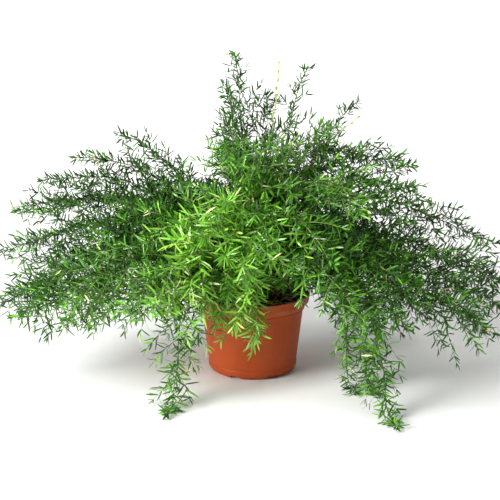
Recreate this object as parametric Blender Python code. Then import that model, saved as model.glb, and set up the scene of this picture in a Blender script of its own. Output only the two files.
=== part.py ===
"""Potted asparagus fern: a round nursery pot of potting mix with arching and trailing fronds.

Frame: metres, +Z up, origin at the centre of the pot's flat underside, -Y is the front.
Every frond is one closed solid: a wiry stem with its side branchlets as thin tapering blades.
"""
import math

import bmesh
import bpy
import numpy as np
from mathutils import Vector

MM = 0.001
GAP = 0.3 * MM  # clearance between pieces that touch

# Pot, moulded in one piece
POT_HEIGHT = 109 * MM
RIM_RADIUS = 78.5 * MM  # outer edge of the rim's top
COLLAR_HEIGHT = 21 * MM  # upright lip and the slant below it
LIP_HEIGHT = 11.5 * MM
LIP_FOOT_RADIUS = 77.6 * MM
COLLAR_FOOT_RADIUS = 71 * MM
BODY_TOP_RADIUS = 69.5 * MM
BAND_TOP = 11.5 * MM  # the base band's upper edge
BAND_RADIUS = 61.2 * MM
BODY_FOOT_RADIUS = 60.4 * MM
BASE_RADIUS = 53.5 * MM  # flat underside
POT_WALL = 1.8 * MM
POT_FLOOR = 2.4 * MM
POT_STEPS = 48
NOTCH_COUNT = 7  # drainage notches around the base corner
NOTCH_WIDTH = 17 * MM
NOTCH_HEIGHT = 4.6 * MM
NOTCH_DEPTH = 11 * MM
FIRST_NOTCH = math.radians(246)

# Potting mix and the crown that the stems rise from
SOIL_TOP = 104 * MM
SOIL_MOUND = 5 * MM
CROWN_RADIUS = 36 * MM
CROWN_DEPTH = 9 * MM
CROWN_RISE = 4 * MM
SOIL_STEPS = 36
CROWN_STEPS = 24

# Stems and branchlets
STEM_RADIUS = 1.3 * MM
STEM_TIP_RADIUS = 0.6 * MM
BRANCH_SPACING = 31 * MM  # along the stem
BRANCH_FOOT = 5 * MM  # length of stem that a branchlet springs from
BRANCH_LENGTH = 46 * MM
BRANCH_WIDTH = 6 * MM
BRANCH_THICKNESS = 1.5 * MM
BRANCH_TIP = 0.9 * MM
BRANCH_LEAN = 0.85  # forward share of a branchlet's direction
BRANCH_TRIES = (1.0, 0.75, 0.5, 0.3)  # shortened until it clears its neighbours
BRANCH_CLEARANCE = 0.6 * MM
FLOOR_CLEARANCE = 1.2 * MM
BARE_SHARE = 0.24  # lower share of a stem that carries no branchlets
RISING_SHARE = 0.13  # how far out an arching stem's first control point lies, of its reach
FALLING_SHARE = 0.68  # how far out its second one lies
SWAY_SHARE = 0.2  # the part of the tip's sway that the second one has

# Arching fronds by ring on the crown, from the middle outwards. Each row holds the compass
# heading in degrees (0 is +X, 90 is +Y), the reach of the tip from the pot's axis, the height
# half way along and the tip's height in millimetres, the droop at the tip as a slope, and the
# tip's sideways sway in millimetres.
CROWN_RINGS = (
    (8 * MM, (
        (28, 92, 270, 408, 0.3, 6),
        (75, 60, 262, 372, 0.3, -8),
        (108, 70, 285, 424, 0.2, 6),
        (140, 45, 250, 350, 0.3, 6),
        (200, 36, 262, 392, 0.2, -4),
        (232, 75, 235, 318, 0.5, 8),
        (280, 95, 240, 325, 0.5, 8),
        (347, 105, 250, 335, 0.4, -8),
    )),
    (17 * MM, (
        (3, 218, 280, 275, 0.5, 8),
        (16, 150, 258, 362, -0.4, 8),
        (38, 190, 285, 275, 0.5, -8),
        (92, 190, 265, 210, 0.7, -10),
        (128, 200, 240, 190, 0.6, 10),
        (150, 225, 232, 195, 0.5, -8),
        (167, 250, 250, 285, 0.1, 8),
        (181, 178, 252, 322, 0.0, -6),
        (196, 200, 226, 205, 0.6, 8),
        (214, 170, 220, 190, 0.7, -8),
        (232, 158, 226, 172, 0.8, 6),
        (248, 140, 240, 215, 0.7, -8),
        (264, 140, 215, 160, 0.9, 6),
        (281, 150, 232, 185, 0.8, -10),
        (302, 165, 235, 190, 0.8, 8),
        (322, 185, 262, 245, 0.6, -8),
        (345, 232, 268, 246, 0.5, 8),
    )),
    (26 * MM, (
        (352, 345, 200, 132, 0.4, -6),
        (1, 325, 238, 176, 0.4, 6),
        (24, 250, 190, 100, 1.0, 10),
        (48, 265, 205, 115, 0.7, -8),
        (84, 235, 195, 105, 0.8, 10),
        (118, 250, 200, 110, 0.7, -10),
        (142, 285, 205, 125, 0.6, 8),
        (156, 342, 214, 190, 0.4, -8),
        (168, 338, 224, 208, 0.35, 8),
        (173, 292, 244, 256, 0.2, -4),
        (180, 342, 210, 162, 0.4, 6),
        (187, 330, 188, 112, 0.5, -6),
        (194, 343, 180, 112, 0.5, 8),
        (201, 322, 168, 104, 0.5, -8),
        (208, 270, 188, 132, 0.6, 8),
        (215, 285, 162, 110, 0.5, -6),
        (225, 235, 172, 132, 0.6, 8),
        (237, 195, 168, 128, 0.7, -6),
        (250, 120, 176, 98, 1.7, -6),
        (271, 108, 168, 80, 2.0, 5),
        (309, 225, 178, 120, 0.7, -8),
        (317, 252, 172, 108, 0.5, 8),
        (327, 245, 190, 130, 0.6, -6),
        (334, 335, 168, 92, 0.45, 8),
        (343, 340, 188, 112, 0.45, -6),
    )),
)

# Trailing fronds: the foot's compass heading in degrees and its distance from the axis, then
# the points that the stem passes through, down to the surface that the pot stands on.
TRAILING = (
    (232, 33 * MM, ((-58, -80, 166), (-86, -122, 132), (-94, -140, 70),
                    (-99, -152, 18), (-102, -168, 5), (-104, -192, 5))),
    (294, 33 * MM, ((52, -62, 158), (92, -84, 138), (118, -86, 84),
                    (125, -86, 22), (129, -94, 5), (135, -112, 5))),
    (310, 33 * MM, ((70, -55, 166), (114, -76, 142), (140, -86, 84),
                    (148, -86, 22), (152, -96, 5), (160, -114, 5))),
    (324, 33 * MM, ((84, -84, 178), (134, -138, 140), (156, -174, 72),
                    (163, -188, 17), (167, -206, 5), (171, -232, 5))),
)

# Bare young shoots, which have no branchlets yet, by the same rule as the arching fronds
SHOOT_RING = 12.5 * MM
SHOOTS = (
    (35, 50, 268, 424, 0.1, 0),
    (0, 150, 266, 350, -0.2, 3),
    (322, 78, 235, 330, 0.2, 3),
)


def material(name, colour, roughness):
    """A plain Principled material; the colour is linear red, green and blue."""
    made = bpy.data.materials.new(name)
    made.use_nodes = True
    shader = made.node_tree.nodes["Principled BSDF"]
    shader.inputs["Base Color"].default_value = (*colour, 1)
    shader.inputs["Roughness"].default_value = roughness
    shader.inputs["Metallic"].default_value = 0
    return made


def add_object(name, mesh, finish):
    made = bpy.data.objects.new(name, mesh)
    bpy.context.scene.collection.objects.link(made)
    mesh.materials.append(finish)
    return made


def turned_solid(name, profile, steps, finish):
    """A solid of revolution; the profile starts and ends on the axis and runs down the outside."""
    mesh = bpy.data.meshes.new(name)
    edges = [(k, k + 1) for k in range(len(profile) - 1)]
    mesh.from_pydata([(radius, 0, height) for radius, height in profile], edges, [])
    made = add_object(name, mesh, finish)
    screw = made.modifiers.new("Turn", "SCREW")
    screw.steps = steps
    screw.render_steps = steps
    screw.use_merge_vertices = True
    screw.merge_threshold = 0.00001
    return made


def body_radius(height):
    """Outer radius of the tapering wall between the base band and the collar."""
    collar_foot = POT_HEIGHT - COLLAR_HEIGHT
    share = (height - BAND_TOP) / (collar_foot - BAND_TOP)
    return BODY_FOOT_RADIUS + (BODY_TOP_RADIUS - BODY_FOOT_RADIUS) * share


def inner_radius(height):
    """Inner radius of the pot: it follows the wall's taper, the slant and the lip."""
    collar_foot = POT_HEIGHT - COLLAR_HEIGHT
    if height <= collar_foot:
        return body_radius(height) - POT_WALL
    corners = (collar_foot, POT_HEIGHT - LIP_HEIGHT, POT_HEIGHT)
    return float(np.interp(height, corners, (BODY_TOP_RADIUS, LIP_FOOT_RADIUS, RIM_RADIUS))) - POT_WALL


def make_pot(finish):
    collar_foot = POT_HEIGHT - COLLAR_HEIGHT
    lip_foot = POT_HEIGHT - LIP_HEIGHT
    inner_floor_radius = BASE_RADIUS - POT_WALL
    inner = [
        (0, POT_FLOOR),
        (inner_floor_radius, POT_FLOOR),
        (inner_radius(BAND_TOP), BAND_TOP),
        (inner_radius(collar_foot), collar_foot),
        (inner_radius(lip_foot), lip_foot),
        (inner_radius(POT_HEIGHT - MM), POT_HEIGHT - MM),
    ]
    outer = [
        (RIM_RADIUS - 1.3 * MM, POT_HEIGHT),
        (RIM_RADIUS - 0.5 * MM, POT_HEIGHT),
        (RIM_RADIUS, POT_HEIGHT - 0.8 * MM),
        (LIP_FOOT_RADIUS, lip_foot),
        (COLLAR_FOOT_RADIUS, collar_foot),
        (BODY_TOP_RADIUS, collar_foot - 0.6 * MM),
        (BODY_FOOT_RADIUS, BAND_TOP + 0.8 * MM),
        (BAND_RADIUS, BAND_TOP),
        (BAND_RADIUS - 0.8 * MM, 5.5 * MM),
        (BASE_RADIUS + 3.6 * MM, 1.8 * MM),
        (BASE_RADIUS, 0),
        (0, 0),
    ]
    pot = turned_solid("nursery_pot", inner + outer, POT_STEPS, finish)
    for k in range(NOTCH_COUNT):
        cut_notch(pot, FIRST_NOTCH + k * 2 * math.pi / NOTCH_COUNT)
    return pot


def cut_notch(pot, heading):
    """A drainage notch through the pot's base corner, open below and to the side."""
    mesh = bpy.data.meshes.new("notch")
    shape = bmesh.new()
    bmesh.ops.create_cube(shape, size=1)
    bmesh.ops.scale(shape, vec=(NOTCH_DEPTH, NOTCH_WIDTH, 2 * NOTCH_HEIGHT), verts=shape.verts)
    shape.to_mesh(mesh)
    shape.free()
    cutter = bpy.data.objects.new("notch", mesh)
    bpy.context.scene.collection.objects.link(cutter)
    distance = BASE_RADIUS - POT_WALL - 2.5 * MM + NOTCH_DEPTH / 2
    cutter.location = (distance * math.cos(heading), distance * math.sin(heading), 0)
    cutter.rotation_euler = (0, 0, heading)
    cutter.display_type = "WIRE"
    cutter.hide_render = True
    cut = pot.modifiers.new("Notch", "BOOLEAN")
    cut.operation = "DIFFERENCE"
    cut.object = cutter


def crown_surface(radius):
    """Height of the crown's domed top at a distance from the axis."""
    return SOIL_TOP + CROWN_RISE * (1 - (radius / CROWN_RADIUS) ** 2)


def make_soil(finish):
    """The potting mix fills the pot to below the rim, with a hollow where the crown sits."""
    foot = POT_FLOOR + GAP
    edge = SOIL_TOP - SOIL_MOUND
    hollow = [
        (0, SOIL_TOP - CROWN_DEPTH),
        (CROWN_RADIUS * 0.7, SOIL_TOP - CROWN_DEPTH * 0.7),
        (CROWN_RADIUS, SOIL_TOP - MM),
        (CROWN_RADIUS + 2 * MM, SOIL_TOP),
    ]
    collar_foot = POT_HEIGHT - COLLAR_HEIGHT
    shell = [
        (inner_radius(edge) - GAP, edge),
        (inner_radius(collar_foot) - GAP, collar_foot),
        (inner_radius(BAND_TOP) - GAP, BAND_TOP),
        (BASE_RADIUS - POT_WALL - 2 * GAP, foot),
        (0, foot),
    ]
    return turned_solid("potting_mix", hollow + shell, SOIL_STEPS, finish)


def make_crown(finish):
    """The woody crown: a low dome above the mix, lens-shaped where it sits in it."""
    edge = CROWN_RADIUS - 2 * GAP
    profile = [
        (0, crown_surface(0)),
        (edge * 0.5, crown_surface(edge * 0.5)),
        (edge * 0.85, crown_surface(edge * 0.85)),
        (edge, SOIL_TOP + 0.2 * MM),
        (edge * 0.7, SOIL_TOP - CROWN_DEPTH * 0.7 + 2 * GAP),
        (0, SOIL_TOP - CROWN_DEPTH + 2 * GAP),
    ]
    return turned_solid("root_crown", profile, CROWN_STEPS, finish)


def on_crown(radius, heading):
    """The point just above the crown or the mix where a stem starts."""
    height = max(crown_surface(radius), SOIL_TOP) + GAP + STEM_RADIUS * 0.2
    return np.array([radius * math.cos(heading), radius * math.sin(heading), height])


def arching_path(foot, row):
    """A cubic Bezier from the foot, up and over to the tip, sampled evenly in its parameter."""
    heading = math.radians(row[0])
    reach, middle, tip_height = (value * MM for value in row[1:4])
    droop, sway = row[4], row[5] * MM
    ahead = np.array([math.cos(heading), math.sin(heading), 0])
    aside = np.array([-math.sin(heading), math.cos(heading), 0])
    up = np.array([0, 0, 1])
    falling_height = tip_height + (1 - FALLING_SHARE) * reach * droop
    rising_height = (8 * middle - foot[2] - tip_height) / 3 - falling_height
    rising = foot * (1, 1, 0) + ahead * reach * RISING_SHARE + up * rising_height
    falling = ahead * reach * FALLING_SHARE + aside * sway * SWAY_SHARE + up * falling_height
    tip = ahead * reach + aside * sway + up * tip_height
    t = np.linspace(0, 1, 101)[:, None]
    return (
        (1 - t) ** 3 * foot
        + 3 * (1 - t) ** 2 * t * rising
        + 3 * (1 - t) * t ** 2 * falling
        + t ** 3 * tip
    )


def trailing_path(foot, points):
    """A Catmull-Rom curve through the foot and the points, in that order."""
    knots = np.vstack([foot, np.array(points) * MM])
    before = 2 * knots[0] - knots[1] + np.array([0, 0, -40 * MM])
    after = 2 * knots[-1] - knots[-2]
    knots = np.vstack([before, knots, after])
    t = np.linspace(0, 1, 20, endpoint=False)[:, None]
    spans = []
    for a, b, c, d in zip(knots, knots[1:], knots[2:], knots[3:]):
        spans.append(
            b
            + 0.5 * t * (c - a)
            + t ** 2 * (a - 2.5 * b + 2 * c - 0.5 * d)
            + t ** 3 * (1.5 * (b - c) + 0.5 * (d - a))
        )
    return np.vstack(spans + [knots[-2][None]])


class Stem:
    """A stem's centre line, with the point and the frame at any distance along it."""

    def __init__(self, path):
        self.path = path
        steps = np.linalg.norm(np.diff(path, axis=0), axis=1)
        self.run = np.concatenate([[0], np.cumsum(steps)])
        self.length = self.run[-1]
        across = np.cross([0, 0, 1], path[-1] - path[0])
        self.across = across / np.linalg.norm(across)

    def point(self, distance):
        return np.array([np.interp(distance, self.run, self.path[:, k]) for k in range(3)])

    def frame(self, distance):
        """Unit vectors: side, up and along, with side x up = along."""
        step = 2 * MM
        along = self.point(min(distance + step, self.length)) - self.point(max(distance - step, 0))
        along /= np.linalg.norm(along)
        side = self.across - along * (self.across @ along)
        side /= np.linalg.norm(side)
        return side, np.cross(along, side), along

    def radius(self, distance):
        return STEM_RADIUS + (STEM_TIP_RADIUS - STEM_RADIUS) * distance / self.length


def segment_gap(start, end, starts, ends):
    """The least distance between one straight segment and each of many others."""
    samples = np.linspace(0, 1, 9)[:, None]
    points = start + (end - start) * samples
    lines = ends - starts
    squares = np.maximum((lines ** 2).sum(1), 1e-12)
    share = np.einsum("pnk,nk->pn", points[:, None] - starts[None], lines) / squares
    nearest = starts + np.clip(share, 0, 1)[..., None] * lines
    return np.linalg.norm(points[:, None] - nearest, axis=2).min(0)


def clear_of_pot(start, end, width):
    """True where the segment stays above the surface and outside the pot and its mix."""
    points = start + (end - start) * np.linspace(0, 1, 9)[:, None]
    radius = np.hypot(points[:, 0], points[:, 1])
    low = points[:, 2] < POT_HEIGHT + width
    outside = radius > RIM_RADIUS + width
    above = points[:, 2].min() > width / 2 + FLOOR_CLEARANCE
    return bool(above and np.all(outside | ~low))


class Grown:
    """The stems and branchlets placed so far, as straight segments with a half width each."""

    def __init__(self):
        self.starts = np.empty((0, 3))
        self.ends = np.empty((0, 3))
        self.widths = np.empty(0)
        self.owners = np.empty(0, int)

    def add(self, start, end, width, owner):
        self.starts = np.vstack([self.starts, start])
        self.ends = np.vstack([self.ends, end])
        self.widths = np.append(self.widths, width)
        self.owners = np.append(self.owners, owner)

    def is_clear(self, start, end, width, owner):
        others = self.owners != owner
        gaps = segment_gap(start, end, self.starts[others], self.ends[others])
        return bool(np.all(gaps > width + self.widths[others] + BRANCH_CLEARANCE))


def add_stem(grown, stem, owner):
    stations = np.linspace(0, stem.length, 29)
    for low, high in zip(stations, stations[1:]):
        grown.add(stem.point(low), stem.point(high), stem.radius(low) * 1.2, owner)


def plan_branchlets(grown, stem, owner):
    """Branchlets alternate around the stem; each is shortened until it clears its neighbours."""
    planned = []
    first = stem.length * BARE_SHARE
    count = int((stem.length - first) / BRANCH_SPACING)
    for k in range(count):
        distance = first + (k + 0.5) * (stem.length - first) / count
        side, up, along = stem.frame(distance)
        face = (3, 1, 0, 1, 3, 2)[k % 6]  # right, left, above, left, right, below
        outward = (up, -side, -up, side)[face]
        direction = outward + along * BRANCH_LEAN
        direction /= np.linalg.norm(direction)
        share = (distance - first) / (stem.length - first)
        full = BRANCH_LENGTH * (0.55 + 0.45 * math.sin(math.pi * min(1, share + 0.25)))
        start = stem.point(distance) + outward * stem.radius(distance)
        for part in BRANCH_TRIES:
            end = start + direction * full * part
            half = BRANCH_WIDTH / 2 * part
            if grown.is_clear(start, end, half, owner) and clear_of_pot(start, end, half):
                planned.append((distance, face, direction, full * part, part))
                grown.add(start, end, half, owner)
                break
    return planned


def ring(shape, centre, first, second):
    """Four corners of a section; first and second are its half widths as vectors."""
    signs = ((1, 1), (-1, 1), (-1, -1), (1, -1))
    return [shape.verts.new(Vector(centre + first * a + second * b)) for a, b in signs]


def bridge(shape, lower, upper, open_side=None):
    for k in range(4):
        if k != open_side:
            j = (k + 1) % 4
            shape.faces.new((lower[k], lower[j], upper[j], upper[k]))


def grow_blade(shape, stem, lower, upper, plan):
    """A branchlet from one side of the stem: widest at a third of its length, then to a tip."""
    distance, face, direction, length, part = plan
    root = [lower[face], lower[(face + 1) % 4], upper[(face + 1) % 4], upper[face]]
    along = stem.frame(distance)[2]
    wide = along - direction * (along @ direction)
    wide /= np.linalg.norm(wide)
    thick = np.array(root[0].co - root[1].co)
    thick /= np.linalg.norm(thick)
    centre = np.mean([np.array(corner.co) for corner in root], axis=0)
    before = root
    for reach, width, thickness in (
        (0.33, BRANCH_WIDTH * part, BRANCH_THICKNESS),
        (1.0, BRANCH_TIP, BRANCH_TIP),
    ):
        middle = centre + direction * length * reach
        half_wide = wide * width / 2
        half_thick = thick * thickness / 2
        corners = ((-1, 1), (-1, -1), (1, -1), (1, 1))
        after = [
            shape.verts.new(Vector(middle + half_wide * a + half_thick * b)) for a, b in corners
        ]
        bridge(shape, before, after)
        before = after
    shape.faces.new(before)


def make_frond(name, stem, plans, finish):
    """The stem as a four-sided tapering tube, with each branchlet grown out of its own side."""
    stations = [(0.0, None)]
    if not plans:
        stations += [(stem.length * k / 12, None) for k in range(1, 12)]
    else:
        bare = plans[0][0]
        stations += [(bare * k / 4, None) for k in (1, 2, 3)]
        for plan in plans:
            stations += [(plan[0] - BRANCH_FOOT / 2, plan), (plan[0] + BRANCH_FOOT / 2, None)]
    stations.append((stem.length, None))
    shape = bmesh.new()
    rings = []
    for distance, _ in stations:
        side, up, _ = stem.frame(distance)
        half = stem.radius(distance) * 0.8
        rings.append(ring(shape, stem.point(distance), side * half, up * half))
    for k, (_, plan) in enumerate(stations[:-1]):
        bridge(shape, rings[k], rings[k + 1], plan[1] if plan else None)
        if plan:
            grow_blade(shape, stem, rings[k], rings[k + 1], plan)
    shape.faces.new(rings[0][::-1])
    shape.faces.new(rings[-1])
    mesh = bpy.data.meshes.new(name)
    shape.to_mesh(mesh)
    shape.free()
    return add_object(name, mesh, finish)


def plan_stems():
    """Every stem by name: fronds ring by ring with evenly shared feet, trailing ones, shoots."""
    stems = {}
    number = 0
    for radius, rows in CROWN_RINGS:
        for foot_heading, row in zip(foot_headings(rows), rows):
            number += 1
            stems[f"frond_{number:02d}"] = Stem(arching_path(on_crown(radius, foot_heading), row))
    for number, (heading, radius, points) in enumerate(TRAILING, 1):
        foot = on_crown(radius, math.radians(heading))
        stems[f"trailing_frond_{number:02d}"] = Stem(trailing_path(foot, points))
    for number, row in enumerate(SHOOTS, 1):
        foot = on_crown(SHOOT_RING, math.radians(row[0]))
        stems[f"young_shoot_{number:02d}"] = Stem(arching_path(foot, row))
    return stems


def foot_headings(rows):
    """Feet share their ring evenly, in the order of their fronds' headings."""
    unwound = [heading if heading < 350 else heading - 360 for heading, *_ in rows]
    shift = sum(unwound) / len(rows) - 180 * (len(rows) - 1) / len(rows)
    return [math.radians(shift + 360 * k / len(rows)) for k in range(len(rows))]


def main():
    for old in list(bpy.data.objects):
        bpy.data.objects.remove(old)
    make_pot(material("terracotta_plastic", (0.42, 0.08, 0.025), 0.5))
    make_soil(material("peat_mix", (0.013, 0.009, 0.006), 1.0))
    make_crown(material("woody_crown", (0.09, 0.055, 0.03), 0.9))
    leaf = material("fern_green", (0.05, 0.16, 0.02), 0.5)
    pale = material("young_stem", (0.35, 0.42, 0.14), 0.5)
    stems = plan_stems()
    grown = Grown()
    for owner, stem in enumerate(stems.values()):
        add_stem(grown, stem, owner)
    for owner, (name, stem) in enumerate(stems.items()):
        young = name.startswith("young")
        plans = [] if young else plan_branchlets(grown, stem, owner)
        make_frond(name, stem, plans, pale if young else leaf)


main()
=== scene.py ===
import math

import bpy
import numpy as np
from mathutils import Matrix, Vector


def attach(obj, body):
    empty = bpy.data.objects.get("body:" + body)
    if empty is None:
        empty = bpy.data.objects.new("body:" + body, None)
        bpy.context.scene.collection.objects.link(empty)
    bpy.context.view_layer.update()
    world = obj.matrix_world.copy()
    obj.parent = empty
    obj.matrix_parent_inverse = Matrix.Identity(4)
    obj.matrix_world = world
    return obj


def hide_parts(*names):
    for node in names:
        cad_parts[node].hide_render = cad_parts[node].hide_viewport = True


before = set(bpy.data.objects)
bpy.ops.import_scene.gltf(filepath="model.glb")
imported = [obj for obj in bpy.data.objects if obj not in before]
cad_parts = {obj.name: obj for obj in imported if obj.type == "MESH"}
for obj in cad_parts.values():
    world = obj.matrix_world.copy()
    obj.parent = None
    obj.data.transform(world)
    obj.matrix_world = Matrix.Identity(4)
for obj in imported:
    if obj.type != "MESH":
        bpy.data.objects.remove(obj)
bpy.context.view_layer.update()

mm = 0.001
up = np.array([0.0, 0.0, 1.0])
print("frame loaded with", len(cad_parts), "pieces")


def paint(code):
    # sRGB hex to linear: c/12.92 below 0.04045, else ((c + 0.055)/1.055) to the power 2.4
    share = np.array([int(code[k:k + 2], 16) / 255 for k in (1, 3, 5)])
    linear = np.where(share <= 0.04045, share / 12.92, ((share + 0.055) / 1.055) ** 2.4)
    return (*map(float, linear), 1.0)


def addNode(tree, kind, settings=None, links=None):
    # one shader node; a setting is an attribute or, failing that, an input socket
    node = tree.nodes.new("ShaderNode" + kind)
    for name, value in (settings or {}).items():
        if isinstance(name, str) and hasattr(node, name):
            setattr(node, name, value)
        else:
            node.inputs[name].default_value = value
    for name, source in (links or {}).items():
        tree.links.new(source, node.inputs[name])
    return node


def rampNode(tree, source, stops):
    # a colour ramp through (position, hex) stops
    node = addNode(tree, "ValToRGB", links={"Fac": source})
    band = node.color_ramp.elements
    while len(band) < len(stops):
        band.new(1.0)
    for element, (place, code) in zip(band, stops):
        element.position = place
        element.color = paint(code)
    return node.outputs["Color"]


def mixColour(tree, share, low, high, blend="MIX"):
    # sockets 6 and 7 of a colour Mix node are its A and B, and its output 2 the colour
    node = addNode(tree, "Mix", {"data_type": "RGBA", "blend_type": blend})
    for slot, value in ((0, share), (6, low), (7, high)):
        if isinstance(value, bpy.types.NodeSocket):
            tree.links.new(value, node.inputs[slot])
        else:
            node.inputs[slot].default_value = value
    return node.outputs[2]


def newMaterial(name, settings):
    # a material with these surface sockets set, its node tree and its surface shader
    made = bpy.data.materials.new(name)
    made.use_nodes = True
    shader = made.node_tree.nodes["Principled BSDF"]
    for socket, value in settings.items():
        shader.inputs[socket].default_value = value
    return made, made.node_tree, shader


def unit(vectors):
    # each vector over its own length
    return vectors / np.maximum(np.linalg.norm(vectors, axis=-1, keepdims=True), 1e-12)


def buildMesh(name, points, faces, material, uv=None, smooth=True):
    # faces are whole arrays of corner numbers, (n, 3) or (n, 4); uv is one pair a point
    mesh = bpy.data.meshes.new(name)
    sizes = np.concatenate([np.full(len(part), part.shape[1]) for part in faces])
    corners = np.concatenate([part.ravel() for part in faces]).astype(np.int32)
    mesh.vertices.add(len(points))
    mesh.vertices.foreach_set("co", points.astype(np.float32).ravel())
    mesh.loops.add(len(corners))
    mesh.loops.foreach_set("vertex_index", corners)
    mesh.polygons.add(len(sizes))
    starts = np.concatenate([[0], np.cumsum(sizes)[:-1]]).astype(np.int32)
    mesh.polygons.foreach_set("loop_start", starts)
    mesh.polygons.foreach_set("use_smooth", np.full(len(sizes), smooth))
    if uv is not None:
        layer = mesh.uv_layers.new(name="OFBake")
        layer.data.foreach_set("uv", uv[corners].astype(np.float32).ravel())
    mesh.update(calc_edges=True)
    mesh.validate()
    mesh.materials.append(material)
    piece = bpy.data.objects.new(name, mesh)
    bpy.context.scene.collection.objects.link(piece)
    return piece


def settle(piece, slot, *nodes):
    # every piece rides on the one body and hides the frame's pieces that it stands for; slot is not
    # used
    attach(piece, "root")
    if nodes:
        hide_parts(*nodes)


def latheGrid(profile, steps):
    # profile points (radius, height) turned about Z; a first or last radius of 0 is a pole
    turn = np.linspace(0, 2 * math.pi, steps, endpoint=False)
    body = profile[1:-1]
    ring = np.stack([np.cos(turn), np.sin(turn)], -1)
    points = np.concatenate([
        np.repeat(body[:, None, :1], steps, 1) * ring[None],
        np.repeat(body[:, None, 1:], steps, 1),
    ], -1).reshape(-1, 3)
    here = np.arange(len(body) * steps).reshape(len(body), steps)
    after = np.roll(here, -1, 1)
    quads = np.stack([here[:-1], here[1:], after[1:], after[:-1]], -1).reshape(-1, 4)
    first, last = len(points), len(points) + 1
    points = np.vstack([points, [0, 0, profile[0, 1]], [0, 0, profile[-1, 1]]])
    top = np.stack([np.full(steps, first), here[0], after[0]], -1)
    foot = np.stack([np.full(steps, last), after[-1], here[-1]], -1)
    return points, [quads, top, foot]


def waves(points, seed, scale, count=24):
    # smooth noise: the mean of sines whose directions, sizes and phases are drawn from the seed
    draw = np.random.default_rng(seed)
    ways = unit(draw.normal(size=(count, 3))) * draw.uniform(0.6, 1.6, (count, 1)) / scale
    phases = draw.uniform(0, 2 * math.pi, count)
    return np.sin(points @ ways.T * 2 * math.pi + phases).mean(-1) * 3


def tubeFaces(stations, sides, first, foot, tip, count):
    # quads between the rings of one tube, whose points are numbered from first, and triangles
    # to its foot and tip points; the same again for each of count tubes
    here = np.arange(stations * sides).reshape(stations, sides) + first
    after = np.roll(here, -1, 1)
    quads = np.stack([here[:-1], after[:-1], after[1:], here[1:]], -1).reshape(-1, 4)
    closing = np.vstack([
        np.stack([np.full(sides, foot), after[0], here[0]], -1),
        np.stack([np.full(sides, tip), here[-1], after[-1]], -1),
    ])
    shift = (np.arange(count) * (stations * sides + 2))[:, None, None]
    return [(quads[None] + shift).reshape(-1, 4), (closing[None] + shift).reshape(-1, 3)]


def sweep(paths, radii, sides):
    # tubes: a ring of radius r about each path point, cos(a)*first + sin(a)*second across its
    # direction, closed by a point past each end; also each point's share along and cos(a)
    count, stations, _ = paths.shape
    along = unit(np.gradient(paths, axis=1))
    chord = np.abs(paths[:, -1] - paths[:, 0])
    least = np.eye(3)[chord.argmin(1)][:, None]
    first = unit(np.cross(least, along))
    second = np.cross(along, first)
    turn = np.linspace(0, 2 * math.pi, sides, endpoint=False)[:, None]
    circle = np.cos(turn) * first[:, :, None] + np.sin(turn) * second[:, :, None]
    rings = paths[:, :, None] + circle * radii[:, :, None, None]
    overrun = along[:, [0, -1]] * radii[:, [0, -1], None] * np.array([[-0.6], [0.9]])
    ends = paths[:, [0, -1]] + overrun
    points = np.concatenate([rings.reshape(count, -1, 3), ends], 1).reshape(-1, 3)
    faces = tubeFaces(stations, sides, 0, stations * sides, stations * sides + 1, count)
    run = np.repeat(np.linspace(0, 1, stations), sides)
    share = np.tile(np.concatenate([run, [0, 1]]), count)
    around = np.tile(np.concatenate([np.tile(np.cos(turn[:, 0]), stations), [0, 0]]), count)
    return points, faces, share, around


def joinParts(parts):
    # (points, faces, uv) parts in one mesh, with the faces renumbered
    points, uv, threes, fours, shift = [], [], [], [], 0
    for some, faces, pairs in parts:
        for part in faces:
            (threes if part.shape[1] == 3 else fours).append(part + shift)
        shift += len(some)
        points.append(some)
        uv.append(pairs)
    return np.vstack(points), [np.vstack(fours), np.vstack(threes)], np.vstack(uv)


def scatter(draw, count, inner, outer):
    # points spread evenly over a ring of the surface
    turn = draw.uniform(0, 2 * math.pi, count)
    radius = np.sqrt(draw.uniform(inner ** 2, outer ** 2, count))
    return radius * np.cos(turn), radius * np.sin(turn)


pot = {
    "height": 109 * mm,
    "rimRadius": 78.5 * mm,
    "collarHeight": 21 * mm,  # upright lip and the slant below it
    "lipHeight": 11.5 * mm,
    "lipFoot": 77.6 * mm,
    "collarFoot": 71 * mm,
    "bodyTop": 69.5 * mm,
    "bandTop": 11.5 * mm,
    "bandRadius": 61.2 * mm,
    "bodyFoot": 60.4 * mm,
    "baseRadius": 53.5 * mm,
    "wall": 1.8 * mm,
    "floor": 2.4 * mm,
    "steps": 224,  # points round each ring
    "longestRun": 4 * mm,  # between two rings
    "sharpAngle": math.radians(38),  # edges turned more than this look crisp
    "oval": 0.35 * mm,  # how far the thin rim is out of round
    "ripple": 0.12 * mm,
    "notches": 7,
    "notchWidth": 17 * mm,
    "notchHeight": 4.6 * mm,
    "notchDepth": 11 * mm,
    "notchInset": 2.5 * mm,  # how far it starts inside the wall
    "notchLean": 0.1,  # share of its width that its sides lean in or out
    "firstNotch": math.radians(246),
}


def rounded(corners, radii, steps=5):
    # each corner becomes a quadratic curve from radius before it to radius after it
    line = [corners[0]]
    for before, corner, after, radius in zip(corners, corners[1:], corners[2:], radii):
        back = unit(before - corner) * radius
        ahead = unit(after - corner) * radius
        for t in np.linspace(0, 1, steps):
            line.append(corner + back * (1 - t) ** 2 + ahead * t ** 2)
    line.append(corners[-1])
    return np.array(line)


def divided(line, longest):
    # long straight runs get extra points, so that the wall can be dented smoothly
    out = [line[0]]
    for start, end in zip(line, line[1:]):
        count = max(1, math.ceil(np.linalg.norm(end - start) / longest))
        out += [start + (end - start) * k / count for k in range(1, count + 1)]
    return np.array(out)


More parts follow.
